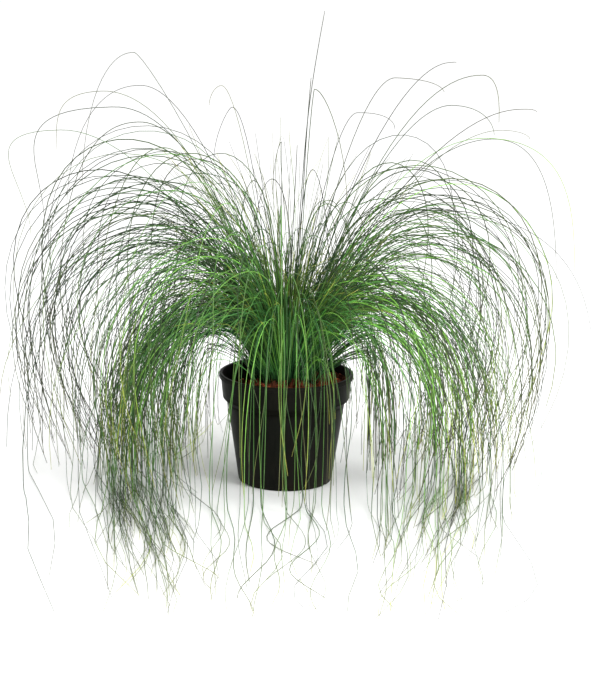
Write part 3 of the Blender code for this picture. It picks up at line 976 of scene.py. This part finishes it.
def front_sheaf(count):
    blade = make_blades(0, math.radians(-115), count)
    to_right = chance.random(count) < TO_THE_RIGHT
    right, left = chance.normal(*RIGHT_WAY, count), chance.normal(*LEFT_WAY, count)
    blade["azimuth"] = np.radians(np.where(to_right, right, left))
    blade["planted"] = chance.uniform(0.004, 0.026, count)
    blade["lean"] = np.radians(chance.normal(16, 6, count))
    blade["fall"] = np.radians(chance.normal(172, 6, count))
    blade["straight"] = chance.uniform(0.060, 0.100, count)
    blade["bend"] = chance.uniform(0.15, 0.21, count)
    blade["early"] = chance.uniform(0.5, 0.7, count)
    blade["length"] = chance.uniform(0.65, 1.05, count)
    blade["width"] = chance.uniform(0.0009, 0.0015, count)
    blade["sway"] = chance.normal(0, 0.60, count)
    blade["sway_rate"] = math.tau / chance.uniform(0.20, 0.40, count)
    blade["curl"] = chance.normal(0, 0.05, count)
    blade["curl_rate"] = math.tau / chance.uniform(0.45, 0.70, count)
    blade["dryness_and_shade"] = chance.uniform(0.10, 0.60, count)
    blade["tone"] = chance.uniform(0.25, 0.85, count)
    return blade


for name, blade, cuts in (
    ("young_blades", crown_blades(YOUNG, **YOUNG_FORM), YOUNG_CUTS),
    ("steep_blades", crown_blades(STEEP, **STEEP_FORM), STEEP_CUTS),
    ("front_sheaf", front_sheaf(FRONT_SHEAF), FINE_CUTS),
):
    print(name, "has", grow_piece(name, None, blade, cuts), "blades")

# %% Upright tuft
UPRIGHT = 3
upright = make_blades(3, 0.0, UPRIGHT)
upright["azimuth"] = chance.uniform(-0.4, 0.4, UPRIGHT)
upright["lean"] = np.radians(chance.uniform(0, 3, UPRIGHT))
upright["fall"] = np.radians(chance.uniform(8, 14, UPRIGHT))
upright["length"] = np.linspace(0.30, 0.468, UPRIGHT)
for key, value in {"planted": 0.003, "straight": 0.27, "bend": 0.22, "width": 0.0014, "tone": 0.3}.items():
    upright[key] = np.full(UPRIGHT, value)
lines = blade_lines(upright)
blade_piece("upright_tuft_blades", "upright_tuft", upright, lines, FINE_CUTS)
print("upright tuft reaches", round(float(lines[1][..., 2].max()), 3), "m")

# %% [markdown]
# ## Single long blades
#
# A few blades stand out from the mass: the widest arches at both sides, some narrow loops above the crown
# and one that is bent over sharply. Each is given by where its top and its tip are. Two cubic curves draw it,
# one up to the top and one down from it, and both are level where they meet.

# %% Arches through given points
ARCHES = (  # azimuth, reach and height of top and tip, and how round the arch is before and after its top
    (181, 0.194, 0.540, 0.262, 0.37, 0.25, 0.9),
    (172, 0.187, 0.497, 0.285, 0.34, 1.0, 1.0),
    (186, 0.231, 0.498, 0.290, 0.43, 1.2, 1.6),
    (189, 0.216, 0.478, 0.303, 0.33, 1.2, 2.6),
    (183, 0.281, 0.448, 0.320, 0.32, 1.0, 4.6),
    (170, 0.189, 0.450, 0.300, 0.22, 1.1, 1.1),
    (196, 0.160, 0.430, 0.250, 0.12, 1.0, 1.0),
    (190, 0.086, 0.504, 0.101, 0.48, 0.8, 0.8),
    (175, 0.072, 0.475, 0.094, 0.41, 1.0, 0.3),
    (200, 0.011, 0.434, 0.024, 0.37, 0.6, 0.6),
    (4, 0.129, 0.515, 0.189, 0.500, 1.0, 1.0),
    (-3, 0.237, 0.524, 0.260, 0.470, 1.2, 1.2),
    (8, 0.203, 0.530, 0.214, 0.528, 1.0, 1.0),
    (-6, 0.285, 0.480, 0.305, 0.474, 1.0, 1.0),
    (-2, 0.200, 0.484, 0.252, 0.450, 1.0, 1.0),
    (10, 0.086, 0.468, 0.139, 0.445, 1.0, 1.0),
    (5, 0.264, 0.450, 0.298, 0.440, 1.0, 1.0),
    (-4, 0.242, 0.442, 0.362, 0.27, 1.3, 1.3),
    (9, 0.257, 0.435, 0.346, 0.25, 1.2, 1.2),
    (2, 0.184, 0.350, 0.385, 0.18, 1.1, 1.1),
    (-8, 0.030, 0.500, 0.073, 0.36, 0.5, 0.5),
)
AXES = ((0.5, 0.1), (1.3, 1.5))  # for reach and height, the slope at the soil and at the tip
SLOPE_TO_TOP = 1.1
SLOPE_TO_TIP = 2.0


def cubic(t, start, start_slope, end, end_slope):
    """(2t^3-3t^2+1) start + (t^3-2t^2+t) start slope + (3t^2-2t^3) end + (t^3-t^2) end slope."""
    rising = 3 * t**2 - 2 * t**3
    slopes = (t**3 - 2 * t**2 + t) * start_slope, (t**3 - t**2) * end_slope
    return (1 - rising) * start + slopes[0] + rising * end + slopes[1]


def arch_lines(azimuth, planted, top, tip, roundness, drift):
    """Steps, points and headings of arches, from the (reach, height) of the start, top and tip of each."""
    share = np.linspace(0, 1, STEPS // 2)[None, :]
    rise, drop = top - planted, tip - top
    to_top, to_tip = (leg[:, None] * np.array([[1.0, 0.0]]) for leg in roundness.T)
    before_top, after_top = to_top * SLOPE_TO_TOP * rise[:, :1], to_tip * SLOPE_TO_TIP * drop[:, :1]
    plane = []
    for axis, (leaning, hanging) in enumerate(AXES):
        foot, peak, end = (place[:, axis, None] for place in (planted, top, tip))
        up = cubic(share, foot, leaning * rise[:, axis, None], peak, before_top[:, axis, None])
        down = cubic(share, peak, after_top[:, axis, None], end, hanging * drop[:, axis, None])
        plane.append(np.concatenate([up, down[:, 1:]], axis=1))
    reach, height = plane
    heading = azimuth[:, None] + drift[:, None] * np.linspace(0, 1, reach.shape[1])[None, :]
    points = np.stack([reach * np.cos(heading), reach * np.sin(heading), height], axis=-1)
    gone = np.cumsum(np.linalg.norm(np.diff(points, axis=1), axis=2), axis=1)
    return np.concatenate([np.zeros((len(gone), 1)), gone], axis=1), points, heading


def arch_piece(name, azimuth, planted, top, tip, roundness, width, aged_and_shade, tone):
    count = len(azimuth)
    lines = arch_lines(azimuth, planted, top, tip, roundness, chance.normal(0, 0.10, count))
    blade = {"width": chance.uniform(*width, count), **Scatter(count).looks(aged_and_shade, tone)}
    blade_piece(name, None, blade, lines, FINE_CUTS)
    print(name, "has", count, "blades, up to", round(float(lines[1][..., 2].max()), 3), "m")


long_arches = np.array(ARCHES)
count = len(long_arches)
starts = np.stack([chance.uniform(0.004, 0.014, count), np.full(count, SOIL_LEVEL)], axis=1)
arch_piece("long_arches", np.radians(long_arches[:, 0]), starts, long_arches[:, 1:3], long_arches[:, 3:5],
           long_arches[:, 5:], (0.0010, 0.0014), 0.8, 0.0)

# %% [markdown]
# ## Strands close to the pot
#
# On both sides a thin curtain of blades drops just outside the rim, and over the rim at the right hang a few
# short fresh ones. They are arches too, with their tops low and near.

# %% Curtains and rim strands


def chance_pairs(count, reach, height):
    return np.stack([chance.uniform(*reach, count), chance.uniform(*height, count)], axis=1)


for name, count, middle, spread, top_reach, tip_reach in (
    ("right_curtain", 44, 0, 24, (0.085, 0.120), (0.104, 0.145)),
    ("left_curtain", 18, 180, 26, (0.085, 0.115), (0.112, 0.150)),
):
    azimuth = np.radians(middle + chance.uniform(-spread, spread, count))
    starts = chance_pairs(count, (0.030, 0.042), (SOIL_LEVEL, SOIL_LEVEL))
    tops = chance_pairs(count, top_reach, (0.165, 0.200))
    tips = chance_pairs(count, tip_reach, (0.002, 0.06))
    roundness = chance.uniform(0.8, 1.1, (count, 2))
    arch_piece(name, azimuth, starts, tops, tips, roundness, (0.0009, 0.0014), 0.6, 0.1)

RIM_STRANDS = 9
azimuth = np.radians(chance.uniform(-62, -12, RIM_STRANDS))
starts = chance_pairs(RIM_STRANDS, (0.030, 0.040), (SOIL_LEVEL, SOIL_LEVEL))
tops = chance_pairs(RIM_STRANDS, (0.068, 0.078), (0.166, 0.182))
tips = chance_pairs(RIM_STRANDS, (0.098, 0.106), (0.085, 0.130))
arch_piece("rim_strands", azimuth, starts, tops, tips, np.ones((RIM_STRANDS, 2)), (0.0009, 0.0012), 0.0, 0.3)

# %% [markdown]
# ## Floor and light
#
# The plant stands on a plain white floor under a white sky, as in a catalogue. Two soft lamps to the right
# give the blades their bright side and the pot its grey sheen, one above fills in, and the shadow is faint.

# %% Studio
FLOOR_SIZE = 24
bpy.ops.mesh.primitive_plane_add(size=FLOOR_SIZE)
floor = bpy.context.object
floor.name = "floor"
matt = {"Roughness": 0.9, "Specular IOR Level": 0.0, "Base Color": (0.93, 0.93, 0.93, 1)}
floor.data.materials.append(start_material("white_floor", matt)[0])

world = bpy.data.worlds.new("studio")
bpy.context.scene.world = world
world.use_nodes = True
background = world.node_tree.nodes["Background"].inputs
set_sockets(world.node_tree, background, {"Color": (1, 1, 1, 1), "Strength": 1.1})


def soft_lamp(name, place, target, size, watts):
    data = bpy.data.lights.new(name, "AREA")
    data.size = size
    data.energy = watts
    lamp = add_object(name, data)
    lamp.location = place
    away = np.subtract(place, target)
    tilt, turn = math.acos(away[2] / np.linalg.norm(away)), math.atan2(away[1], away[0])
    lamp.rotation_euler = (tilt, 0, turn + math.pi / 2)


soft_lamp("key", (1.7, -1.5, 1.9), (0, 0, 0.2), 1.0, 55)
soft_lamp("side", (2.3, -0.7, 0.45), (0, 0, 0.1), 0.9, 22)
soft_lamp("sky", (-0.4, 0.3, 2.6), (0, 0, 0.1), 1.8, 15)

# %% [markdown]
# ## Camera
#
# The camera stands a little above the pot and leans by a hair, as the ellipse of the rim shows. It is far
# away with a long lens, so the wide clump isn't distorted.

# %% Camera
DISTANCE = 3.2
ELEVATION = math.radians(13.4)
ROLL = math.radians(0.9)
METRES_PER_PIXEL = 1.262e-3
IMAGE_HEIGHT = 700
SENSOR_WIDTH = 36
LOOK_AT = np.array([0.0167, 0.0, 0.169])

ahead = np.array([0, math.cos(ELEVATION), -math.sin(ELEVATION)])
lens = bpy.data.cameras.new("camera")
lens.sensor_width = SENSOR_WIDTH
lens.lens = SENSOR_WIDTH * DISTANCE / METRES_PER_PIXEL / IMAGE_HEIGHT
camera = add_object("camera", lens)
place = Matrix.Translation(LOOK_AT - ahead * DISTANCE)
tip_up = Matrix.Rotation(math.pi / 2 - ELEVATION, 4, "X")
camera.matrix_world = place @ tip_up @ Matrix.Rotation(ROLL, 4, "Z")
bpy.context.scene.camera = camera
bpy.context.scene.view_settings.view_transform = "Standard"
print("camera at", [round(v, 2) for v in camera.location], "with a", round(lens.lens, 1), "mm lens")
